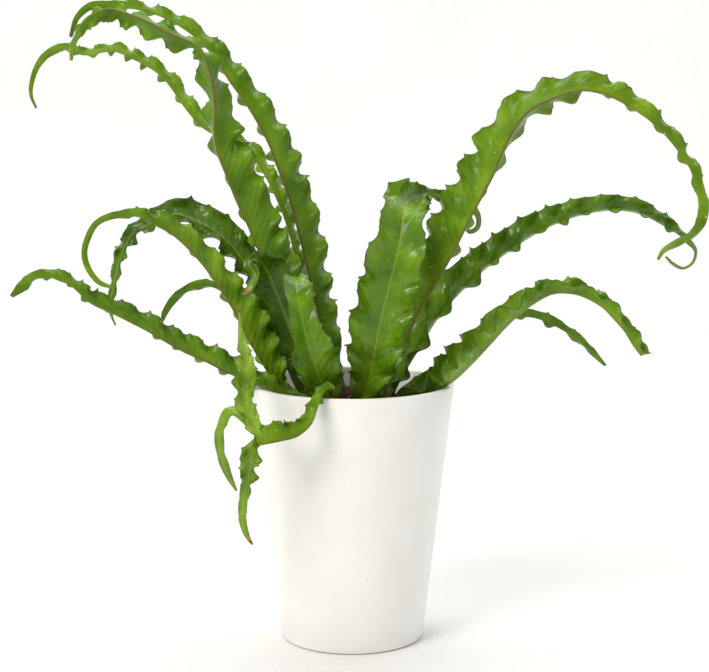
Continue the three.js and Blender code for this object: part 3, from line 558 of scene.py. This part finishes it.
def bladeSurface(frond, isStalk):
    # Middle surface of one blade as a grid of points, with what its material and thickness need
    route = []
    for point in frond["route"]:
        route.append(point if len(point) == 5 else point + route[-1][4:])
    if isStalk:
        x, y = frond["stem"]
        foot = [[x, y, soilTop + z, blade["stalkRadius"], route[0][4]] for z in blade["stalkFoot"]]
        route = foot + route
    length, at = traceRib(route)
    rows = marginWaves(length, at, frond["seed"], frond["wave"])
    phases = np.arange(len(rows) * blade["perWave"] + 1) / blade["perWave"]
    index = np.minimum(phases.astype(int), len(rows) - 1)
    wave = rows[index]
    distance = wave[:, 0] + wave[:, 1] * (phases - index)
    place, along, half, turn = at(distance)

    # face is the way the upper side looks, sideways is out along the unfolded blade
    isRight = frond.get("goes") == "right"
    depth = np.array([0.0, 1.0, 0.0])
    inside = unit(np.cross(depth, along)) * (-1 if isRight else 1)
    away = unit(depth - along * along[:, 1:2])
    cosine, sine = np.cos(turn)[:, None], np.sin(turn)[:, None]
    face = inside * cosine + away * sine
    sideways = inside * sine - away * cosine
    opened = smoothStep(*waves["opens"], half)
    fold = np.radians(frond["fold"]) * opened
    flat, folded = np.cos(fold)[:, None], np.sin(fold)[:, None]

    steps = np.array(blade["columns"])
    signed = np.concatenate([-steps[:0:-1], steps])
    signed = signed[::-1] if isRight else signed
    ribShare = np.minimum(leafLook["ribHalf"] / half, blade["ribLimit"])
    points, facts, spots = [], [], []
    for share in signed:
        side = -1 if share < 0 else 1
        t = abs(share)
        across = np.where(t > 0, ribShare + (1 - ribShare) * (t - steps[1]) / (1 - steps[1]), 0)
        outward = sideways * side * flat + face * folded
        raised = face * flat - sideways * side * folded
        angle = 2 * np.pi * (phases - index) + (0 if side > 0 else np.pi)
        size = wave[:, 2] if side > 0 else wave[:, 3]
        reach = smoothStep(waves["from"], 1, across)
        swing = np.sin(angle) - waves["dome"] * np.sin(3 * angle)
        tooth = ((1 - np.abs(np.sin(angle))) ** 2 * (1 + waves["uneven"] * np.cos(angle))
                 * (waves["tooth"] * half + waves["toothBase"]) * size * opened * across ** 4)
        tallest = (waves["share"] * half + waves["base"]) * size * frond["ruffle"]
        height = swing * tallest * opened * reach
        gather = waves["pinch"] * np.sin(2 * angle) * wave[:, 1] / (2 * np.pi) * size * reach
        slide = (waves["slant"] * half * across ** 2 - gather) * opened
        points.append(place + outward * (half * across + tooth)[:, None] + raised * height[:, None]
                      + along * slide[:, None])
        breadth = half / blade["widestHalf"]
        facts.append(np.stack([across, distance / length, breadth, np.ones_like(across)], 1))
        spots.append(np.stack([distance + (0 if isStalk else blade["pastFoot"]), side * across * half], 1))

    stalk = (1 - smoothStep(*blade["stalkTaper"], distance)) if isStalk else np.zeros_like(distance)
    slim = np.minimum(1, blade["narrowThick"] + half / blade["fullThickOver"])
    thick = []
    for t in abs(signed):
        ridge = 1 if t == 0 else blade["ribFlank"] if t == steps[1] else 0
        leaf = blade["thick"] + (blade["ribThick"] - blade["thick"]) * ridge
        leaf = leaf * (1 - blade["marginLoss"] * t ** 4) * slim
        rounded = blade["stalkThick"] * (1 - blade["stalkEdgeLoss"] * t * t)
        thick.append(leaf + (rounded - leaf) * stalk)
    return np.stack(points, 1), np.stack(facts, 1), np.stack(spots, 1) / placeUnit, np.stack(thick, 1)


def makeBlade(frond, isStalk):
    points, facts, spots, thick = bladeSurface(frond, isStalk)
    stations, columns = points.shape[:2]
    startFresh()
    bpy.ops.mesh.primitive_grid_add(x_subdivisions=stations - 1, y_subdivisions=columns - 1, size=1)
    piece = bpy.context.object
    mesh = piece.data
    flat = np.empty(len(mesh.vertices) * 3)
    mesh.vertices.foreach_get("co", flat)
    flat = flat.reshape(-1, 3)
    row = np.rint((flat[:, 0] + 0.5) * (stations - 1)).astype(int)
    column = np.rint((flat[:, 1] + 0.5) * (columns - 1)).astype(int)
    mesh.vertices.foreach_set("co", (points[row, column] * mm).ravel())

    # what the leaf's material reads at each corner
    mesh.uv_layers[0].name = "bladePlace"
    corners = np.empty(len(mesh.loops), int)
    mesh.loops.foreach_get("vertex_index", corners)
    mesh.uv_layers[0].uv.foreach_set("vector", spots[row, column][corners].ravel())
    layer = mesh.attributes.new("bladeFacts", "FLOAT_COLOR", "POINT")
    layer.data.foreach_set("color", facts[row, column].ravel())

    # thickness, from the stalk to the thin margin
    group = piece.vertex_groups.new(name="thickness")
    weights = (thick / blade["stalkThick"])[row, column]
    for number, weight in enumerate(weights):
        group.add([number], float(weight), "REPLACE")
    shell = piece.modifiers.new("thickness", "SOLIDIFY")
    shell.thickness = blade["stalkThick"] * mm
    shell.offset = 0
    shell.vertex_group = "thickness"
    shell.thickness_vertex_group = 0
    shell.material_offset = 1
    shell.material_offset_rim = 0
    upper, lower = leafMaterials(frond["tint"], frond.get("dry", 0))
    mesh.materials.append(upper)
    mesh.materials.append(lower)
    applyAll(piece)
    piece.vertex_groups.clear()
    bpy.ops.object.shade_smooth()
    return piece


madeMaterials = {}


def leafMaterials(tint, dry):
    # One pair for each tint and each place where the drying starts
    key = (tint, dry)
    if key not in madeMaterials:
        ending = tint.capitalize() + (f"Dry{round(dry * 1000)}" if dry else "")
        madeMaterials[key] = [
            bladeMaterial("leaf" + side.capitalize() + ending, leafColours[tint], face, dry)
            for side, face in faceLook.items()]
    return madeMaterials[key]


def makeFronds():
    for frond in fronds:
        piece = makeBlade(frond, True)
        for branch in frond.get("branches", []):
            arm = makeBlade(branch, False)
            pick(piece, arm)
            bpy.ops.object.join()
        words = frond["name"].split("_")
        finishPiece(piece, "leaf" + "".join(word.capitalize() for word in words), "frond_" + frond["name"])
    print("fronds made")


# Pot, turned from its outline, with drain holes in its floor

pot = {
    "height": 208, "rimRadius": 82, "baseRadius": 58, "wall": 4.5, "floor": 7, "sides": 120,
    "thickerFoot": 1.5,                                 # less wall at the floor, more at the rim
    "levels": (30, 60, 90, 120, 150, 180),              # rings between the base and the lip
    "baseEdge": ((-2, 0), (-0.6, 0.6), (0, 2)),         # out from the base radius, up from the table
    "lipOuter": ((0, -2), (-0.5, -0.5), (-1.6, 0)),     # out from the rim radius, up from the top
    "lipInner": ((-3.4, 0), (-4.3, -0.6)),
    "innerLevels": (206, 180, 150, 120, 90, 60, 30, 10),
    "floorEdge": ((-1.2, 1), (-4, 0)),                  # out from the inner wall, up from the floor
    "holes": 3, "holeRadius": 5, "holeCircle": 30,
    "cutterHeight": 20, "cutterMiddle": 2, "cutterSides": 32,
}


def innerRadius(height):
    low = pot["baseRadius"] - pot["wall"] + pot["thickerFoot"]
    high = pot["rimRadius"] - pot["wall"]
    return low + (high - low) * (height - pot["floor"]) / (pot["height"] - pot["floor"])


def ringsUp(rings, sides):
    # A turned body: a disc at the first ring, then one extrusion to each next ring
    startFresh()
    radius, height = rings[0]
    bpy.ops.mesh.primitive_circle_add(vertices=sides, radius=radius * mm, fill_type="NGON",
                                      location=(0, 0, height * mm))
    piece = bpy.context.object
    bpy.ops.object.transform_apply(location=True)
    setMode("EDIT")
    bpy.ops.mesh.select_all(action="SELECT")
    bpy.ops.mesh.flip_normals()
    for nextRadius, nextHeight in rings[1:]:
        up = (nextHeight - height) * mm
        bpy.ops.mesh.extrude_edges_move(TRANSFORM_OT_translate={"value": (0, 0, up)})
        bpy.ops.transform.resize(value=(nextRadius / radius, nextRadius / radius, 1))
        radius, height = nextRadius, nextHeight
    return piece


def faceAll(inward=False):
    # All faces of a turned body look out, or in, and edit mode ends
    bpy.ops.mesh.select_all(action="SELECT")
    bpy.ops.mesh.normals_make_consistent(inside=inward)
    setMode("OBJECT")


def makePot():
    height, rim, base, floor = pot["height"], pot["rimRadius"], pot["baseRadius"], pot["floor"]
    baseTop, lipFoot = pot["baseEdge"][-1][1], pot["lipOuter"][0][1]
    lean = (rim - base) / (height + lipFoot - baseTop)
    rings = [(base + out, up) for out, up in pot["baseEdge"]]
    rings += [(base + lean * (z - baseTop), z) for z in pot["levels"]]
    rings += [(rim + out, height + up) for out, up in pot["lipOuter"] + pot["lipInner"]]
    rings += [(innerRadius(z), z) for z in pot["innerLevels"]]
    rings += [(innerRadius(floor) + out, floor + up) for out, up in pot["floorEdge"]]
    piece = ringsUp(rings, pot["sides"])
    bpy.ops.mesh.edge_face_add()
    faceAll()
    for number in range(pot["holes"]):
        angle = 2 * math.pi * (number + 0.5) / pot["holes"]
        x, y = pot["holeCircle"] * math.cos(angle), pot["holeCircle"] * math.sin(angle)
        startFresh()
        bpy.ops.mesh.primitive_cylinder_add(
            vertices=pot["cutterSides"], radius=pot["holeRadius"] * mm, depth=pot["cutterHeight"] * mm,
            location=(x * mm, y * mm, pot["cutterMiddle"] * mm))
        cutter = bpy.context.object
        hole = piece.modifiers.new("hole", "BOOLEAN")
        hole.object = cutter
        hole.operation = "DIFFERENCE"
        applyAll(piece)
        bpy.data.objects.remove(cutter, do_unlink=True)
    pick(piece)
    bpy.ops.object.shade_smooth_by_angle(angle=math.radians(40))
    finishPiece(piece, "plantPot", "pot", [glazedCeramic()])
    print("pot made")


glazeLook = {
    "cloudScale": 24.0, "speckScale": 120.0, "poolScale": 90.0,     # per metre
    "shades": ("#f0efeb", "#f4f3f0", "#f6f5f3"), "iron": "#a39c8e",
}


def glazedCeramic():
    # Off-white satin stoneware glaze: soft gloss, faint clouding, a few iron specks
    material, add, shader, inObject = newMaterial("satinGlazedCeramic", {
        "IOR": 1.5, "Coat Weight": 0.15, "Coat Roughness": 0.2})
    cloud = add("TexNoise", {"Scale": glazeLook["cloudScale"], "Detail": 4.0}, inObject)
    glaze = add("ValToRGB", links={0: cloud}, stops=list(zip((0.3, 0.55, 0.75), glazeLook["shades"])))
    specks = add("TexVoronoi", {"Scale": glazeLook["speckScale"]}, inObject)
    speck = add("MapRange", {1: 0.05, 2: 0.09, 3: 0.55, 4: 0.0}, {0: specks.outputs["Distance"]})
    fewer = add("MapRange", {1: 0.5, 2: 0.62, 3: 0.0, 4: 1.0}, {0: cloud})
    shown = add("Math", {"operation": "MULTIPLY"}, {0: speck, 1: fewer})
    speckled = add("Mix", {"data_type": "RGBA", 7: fromHex(glazeLook["iron"])}, {0: shown, 6: glaze})
    gloss = add("MapRange", {1: 0.35, 2: 0.65, 3: 0.34, 4: 0.4}, {0: cloud})
    pool = add("TexNoise", {"Scale": glazeLook["poolScale"], "Detail": 1.0}, inObject)
    dress(material, shader, speckled.outputs[2], gloss, pool, 0.2, 0.2)
    return material


# Soil, with loose bits on it

soil = {
    "gap": 0.3, "rings": 34, "sides": 132, "seed": 5,
    "foot": ((4.3, 7, 7.3), (1, 10, 11), (0.6, 100, 100)),      # in from the pot's wall at a height, up
    "dish": 1.5, "dishWidth": 14,                               # the surface sinks towards the wall
    "lumps": ((16, 3, 1.21), (6, 9, 0.88), (2.4, 1, 0.5)),      # size, layer of the noise, height
    "crumbScale": 420.0, "dampScale": 60.0,                     # per metre
}
litter = {
    "offWall": 4, "offStalk": 5.5, "offCrown": 13,
    "tilt": 0.35, "stretch": ((0.7, 1.3), (0.7, 1.2)),
    "barkSize": (4.2, 2.4, 1.1), "barkBevel": 0.35,
    "grainRadius": 1.1, "grainLumps": 0.35, "lumpsPerMetre": 1400,
    "fibreLength": 11, "fibreRadius": 0.28, "fibreSway": 1.6, "fibreWave": 3.2, "fibreSag": 0.02,
    "toneScale": 210.0,         # per metre
}
litterKinds = {             # how many, least and most size, lift, then the material
    "barkBits": (420, (0.45, 1.25), 0.3, ("compostedBark", "#2a1a10", "#6b4a30", 0.85)),
    "perliteGrains": (90, (0.5, 1.15), 0.3, ("perlite", "#b9b4a8", "#eceae4", 0.8)),
    "peatFibres": (150, (0.5, 1.2), 0.6, ("peatFibre", "#3a2614", "#8a6a42", 0.9)),
}


def soilHeight(x, y):
    # Height of the soil's surface over soilTop, mm
    edge = innerRadius(soilTop) - 0.5
    height = -soil["dish"] * float(smoothStep(edge - soil["dishWidth"], edge, math.hypot(x, y)))
    for size, layer, tall in soil["lumps"]:
        height += noise.noise(Vector((x / size, y / size, layer))) * tall
    return height


def pottingMix():
    # Peaty potting mix: dark, damp and matt, each crumb a little different
    material, add, shader, inObject = newMaterial("dampPottingMix")
    crumbs = add("TexVoronoi", {"Scale": soil["crumbScale"]}, inObject)
    damp = add("TexNoise", {"Scale": soil["dampScale"], "Detail": 5.0}, inObject)
    tone = add("Math", {"operation": "MULTIPLY_ADD", 1: 0.5}, {0: crumbs.outputs["Distance"], 2: damp})
    colour = add("ValToRGB", links={0: tone},
                 stops=[(0.35, "#1d130c"), (0.6, "#33231a"), (0.9, "#4d3829")])
    dress(material, shader, colour.outputs[0], 0.92, tone, 0.9, 0.8)
    return material


def litterMaterial(name, dark, light, roughness):
    # Dull, dry bits, each with its own tone from where it lies
    material, add, shader, inObject = newMaterial(name)
    tone = add("TexNoise", {"Scale": litter["toneScale"], "Detail": 3.0}, inObject)
    colour = add("ValToRGB", links={0: tone}, stops=[(0.35, dark), (0.68, light)])
    dress(material, shader, colour.outputs[0], roughness, tone, 0.6, 0.3)
    return material


def scatter(pattern, places):
    # Copies of one small shape, each with its own mesh, joined to one piece
    copies = []
    for matrix in places:
        copy = pattern.copy()
        copy.data = pattern.data.copy()
        copy.data.transform(matrix)
        bpy.context.collection.objects.link(copy)
        copies.append(copy)
    bpy.data.objects.remove(pattern, do_unlink=True)
    pick(*copies)
    bpy.ops.object.join()
    return bpy.context.object


def looseSpots(count, draw, sizes, lift):
    # Seeded places on the soil, clear of the wall, the crown and the stalks
    places = []
    limit = innerRadius(soilTop) - litter["offWall"]
    while len(places) < count:
        x, y = draw.uniform(-limit, limit), draw.uniform(-limit, limit)
        isClear = all(math.dist((x, y), frond["stem"]) > litter["offStalk"] for frond in fronds)
        if not litter["offCrown"] <= math.hypot(x, y) <= limit or not isClear:
            continue
        turn = turned(draw.uniform(0, 2 * math.pi), "Z") @ turned(draw.gauss(0, litter["tilt"]), "X")
        size = draw.uniform(*sizes)
        long, wide = (size * draw.uniform(*spread) for spread in litter["stretch"])
        place = moved(x, y, soilTop + soilHeight(x, y) + lift * size)
        places.append(place @ turn @ Matrix.Diagonal((long, wide, size, 1)))
    return places


def barkChip():
    bpy.ops.mesh.primitive_cube_add(size=1)
    setMode("EDIT")
    bpy.ops.transform.resize(value=[length * mm for length in litter["barkSize"]])
    bpy.ops.mesh.bevel(offset=litter["barkBevel"] * mm, segments=1)
    setMode("OBJECT")
    return bpy.context.object


def perliteGrain():
    bpy.ops.mesh.primitive_ico_sphere_add(subdivisions=2, radius=litter["grainRadius"] * mm)
    grain = bpy.context.object
    for vertex in grain.data.vertices:
        vertex.co *= 1 + litter["grainLumps"] * noise.noise(vertex.co * litter["lumpsPerMetre"])
    return grain


def peatFibre():
    bpy.ops.mesh.primitive_cylinder_add(vertices=5, radius=litter["fibreRadius"] * mm,
                                        depth=litter["fibreLength"] * mm, rotation=(0, math.pi / 2, 0))
    thread = bpy.context.object
    bpy.ops.object.transform_apply(rotation=True)
    setMode("EDIT")
    bpy.ops.mesh.subdivide(number_cuts=2)
    setMode("OBJECT")
    for vertex in thread.data.vertices:
        vertex.co.y += litter["fibreSway"] * mm * math.sin(vertex.co.x / (litter["fibreWave"] * mm))
        vertex.co.z -= litter["fibreSag"] * (vertex.co.x / mm) ** 2 * mm
    return thread


def makeSoil():
    top = innerRadius(soilTop) - soil["gap"] - 0.2
    rings = [(innerRadius(level) - inset, z) for inset, level, z in soil["foot"]] + [(top, soilTop - 1.5)]
    count = soil["rings"]
    rings += [(top * (1 - i / count), soilTop - 1) for i in range(1, count)]
    piece = ringsUp(rings, soil["sides"])
    bpy.ops.mesh.merge(type="CENTER")
    faceAll()
    for vertex in piece.data.vertices:
        if vertex.co.z > (soilTop - 1.2) * mm:
            vertex.co.z = (soilTop + soilHeight(vertex.co.x / mm, vertex.co.y / mm)) * mm
    pick(piece)
    bpy.ops.object.shade_smooth_by_angle(angle=math.radians(50))
    finishPiece(piece, "pottingMix", "potting_soil", [pottingMix()])

    draw = random.Random(soil["seed"])
    for name, shape in (("barkBits", barkChip), ("perliteGrains", perliteGrain), ("peatFibres", peatFibre)):
        count, sizes, lift, look = litterKinds[name]
        startFresh()
        bits = scatter(shape(), looseSpots(count, draw, sizes, lift))
        finishPiece(bits, name, "potting_soil", [litterMaterial(*look)], False)
    print("soil made")


# Crown, a knob of rootstock under papery brown scales

crown = {
    "radius": 11, "bottom": 174, "top": 202, "seed": 17,
    "fuller": 0.25, "lumps": 0.09,      # swelling to both ends, unevenness
    "knob": (0.96, 0.985),              # its share of the radius and of the height, to make room for lumps
    "scales": 300, "scaleLength": 8.5, "scaleWidth": 1.7, "scaleThick": 0.22, "scaleBend": 1.5,
    "outline": (0.35, 1.3, 1.6),        # width of a scale along its length
    "tipWidth": 0.05, "ridge": 0.25,
    "rooted": 0.93,                     # share of the radius where a scale starts
    "lean": (0.25, 0.35, 0.7), "leanSpread": 0.12,      # everywhere, more low down, less past the middle
    "twistSpread": 0.25, "sizes": (0.75, 1.2), "topSmaller": 0.35,
}
footScales = {"count": 14, "from": 0.4, "rise": 0.55, "out": 2.2, "lean": 0.3, "sizes": (0.5, 0.8)}


def makeCrown():
    startFresh()
    bpy.ops.mesh.primitive_uv_sphere_add(segments=40, ring_count=24, radius=1)
    knob = bpy.context.object
    middle, reach = (crown["top"] + crown["bottom"]) / 2, (crown["top"] - crown["bottom"]) / 2
    broad, tall = crown["knob"]
    for vertex in knob.data.vertices:
        x, y, z = vertex.co
        radius = crown["radius"] * broad * (1 + crown["fuller"] * abs(z) ** 3)
        bump = 1 + crown["lumps"] * noise.noise(Vector((x * 3, y * 3, z * 3)))
        vertex.co = Vector((x * radius * bump, y * radius * bump, middle + z * reach * tall)) * mm
    pick(knob)
    bpy.ops.object.shade_smooth()
    finishPiece(knob, "rootstock", "fern_crown",
                [litterMaterial("rootstockBark", "#2b1a0d", "#5b3f24", 0.9)])

    # one scale: a narrow pointed strip with a bend, then copies up the knob and round each stalk's foot
    startFresh()
    bpy.ops.mesh.primitive_grid_add(x_subdivisions=2, y_subdivisions=4, size=1)
    scale = bpy.context.object
    first, more, less = crown["outline"]
    for vertex in scale.data.vertices:
        t = vertex.co.y + 0.5
        width = crown["scaleWidth"] * (first + more * t - less * t * t) if t < 0.99 else crown["tipWidth"]
        bend = crown["scaleBend"] * t * t - crown["ridge"] * abs(vertex.co.x)
        vertex.co = Vector((vertex.co.x * width, bend, t * crown["scaleLength"])) * mm
    shell = scale.modifiers.new("thickness", "SOLIDIFY")
    shell.thickness = crown["scaleThick"] * mm
    applyAll(scale)
    draw = random.Random(crown["seed"])
    places = []
    lean, lower, past = crown["lean"]
    for number in range(crown["scales"]):
        share = (number + 0.5) / crown["scales"]
        z = soilTop - 1 + share * (crown["top"] - soilTop - 1)
        level = (z - middle) / reach
        radius = crown["radius"] * crown["rooted"] * math.sqrt(max(1 - level * level, 0.01))
        radius *= 1 + crown["fuller"] * abs(level) ** 3
        tilt = lean + lower * (1 - share) + draw.gauss(0, crown["leanSpread"]) - past * max(level, 0)
        size = draw.uniform(*crown["sizes"]) * (1 - crown["topSmaller"] * share)
        twist = draw.gauss(0, crown["twistSpread"])
        places.append(turned(number * goldenAngle - math.pi / 2, "Z") @ moved(0, radius, z)
                      @ turned(-tilt, "X") @ turned(twist, "Z") @ Matrix.Scale(size, 4))
    for frond in fronds:
        x, y = frond["stem"]
        for number in range(footScales["count"]):
            z = soilTop + footScales["from"] + footScales["rise"] * number + soilHeight(x, y) * 0.5
            size = draw.uniform(*footScales["sizes"])
            tilt = draw.gauss(0, crown["leanSpread"]) - footScales["lean"]
            places.append(moved(x, y, z) @ turned(number * goldenAngle + x, "Z")
                          @ moved(0, footScales["out"], 0) @ turned(tilt, "X") @ Matrix.Scale(size, 4))
    scales = scatter(scale, places)
    finishPiece(scales, "rootstockScales", "fern_crown",
                [litterMaterial("driedFernScale", "#3a2110", "#7a5530", 0.7)], False)
    print("crown made")


# Floor and light; all lengths here are metres

studio = {
    "floorRadius": 1.7, "bend": 0.9, "wallTop": 3.4, "sides": 96, "bendSteps": 12,
    "drop": 0.0004,                 # the floor lies this far under the pot
    "shades": ("#efefee", "#f2f2f1"), "world": 0.03,
    "plant": (0, 0, 0.3),           # what the lamps face, but for the wall's own lamp
    "lamps": {                      # place, power in watts, size, colour
        "keyLight": ((-0.9, -1.1, 1.5), 23.5, (0.8, 0.8), "#fffaf4"),
        "fillLight": ((1.4, -1.0, 1.0), 2, (0.8, 1.0), "#f8faff"),
        "topLight": ((0.1, 0.3, 1.7), 8, (1.0, 0.8), "#ffffff"),
        "wallLight": ((0, 1.0, 3.0), 52, (4.0, 1.0), "#ffffff"),
    },
    "wall": (0, 2.6, 0.6),
}


def makeSweep():
    # Round floor that bends up into a wall all around, so that no edge shows from any side
    reach, bend, count = studio["floorRadius"], studio["bend"], studio["bendSteps"]
    angles = [math.pi / 2 / count * number for number in range(count + 1)]
    rings = [(reach + bend * math.sin(a), bend * (1 - math.cos(a)) - studio["drop"]) for a in angles]
    rings.append((reach + bend, studio["wallTop"]))
    sweep = ringsUp([(radius / mm, height / mm) for radius, height in rings], studio["sides"])
    faceAll(inward=True)
    sweep.name = "paleSweep"
    pick(sweep)
    bpy.ops.object.shade_smooth()

    # matt studio paper, hardly uneven
    material, add, shader, inObject = newMaterial("palePaperSweep")
    faint = add("TexNoise", {"Scale": 3.0}, inObject)
    tone = add("ValToRGB", links={0: faint}, stops=list(zip((0.3, 0.7), studio["shades"])))
    dress(material, shader, tone.outputs[0], 0.85)
    sweep.data.materials.append(material)


def makeStudio():
    makeSweep()
    for name, (place, power, size, colour) in studio["lamps"].items():
        aim = studio["wall"] if name == "wallLight" else studio["plant"]
        startFresh()
        bpy.ops.object.light_add(type="AREA", location=place)
        light = bpy.context.object
        light.name = name
        light.data.shape = "RECTANGLE"
        light.data.size, light.data.size_y = size
        light.data.energy = power
        light.data.color = fromHex(colour)[:3]
        light.rotation_euler = (Vector(aim) - Vector(place)).to_track_quat("-Z", "Y").to_euler()

    world = bpy.data.worlds.new("paleStudio")
    bpy.context.scene.world = world
    world.use_nodes = True
    backdrop = world.node_tree.nodes["Background"]
    backdrop.inputs["Color"].default_value = fromHex("#ffffff")
    backdrop.inputs["Strength"].default_value = studio["world"]
    bpy.context.scene.view_settings.view_transform = "Standard"
    print("floor and light set")


placeCamera()
makePot()
makeSoil()
makeCrown()
makeFronds()
makeStudio()
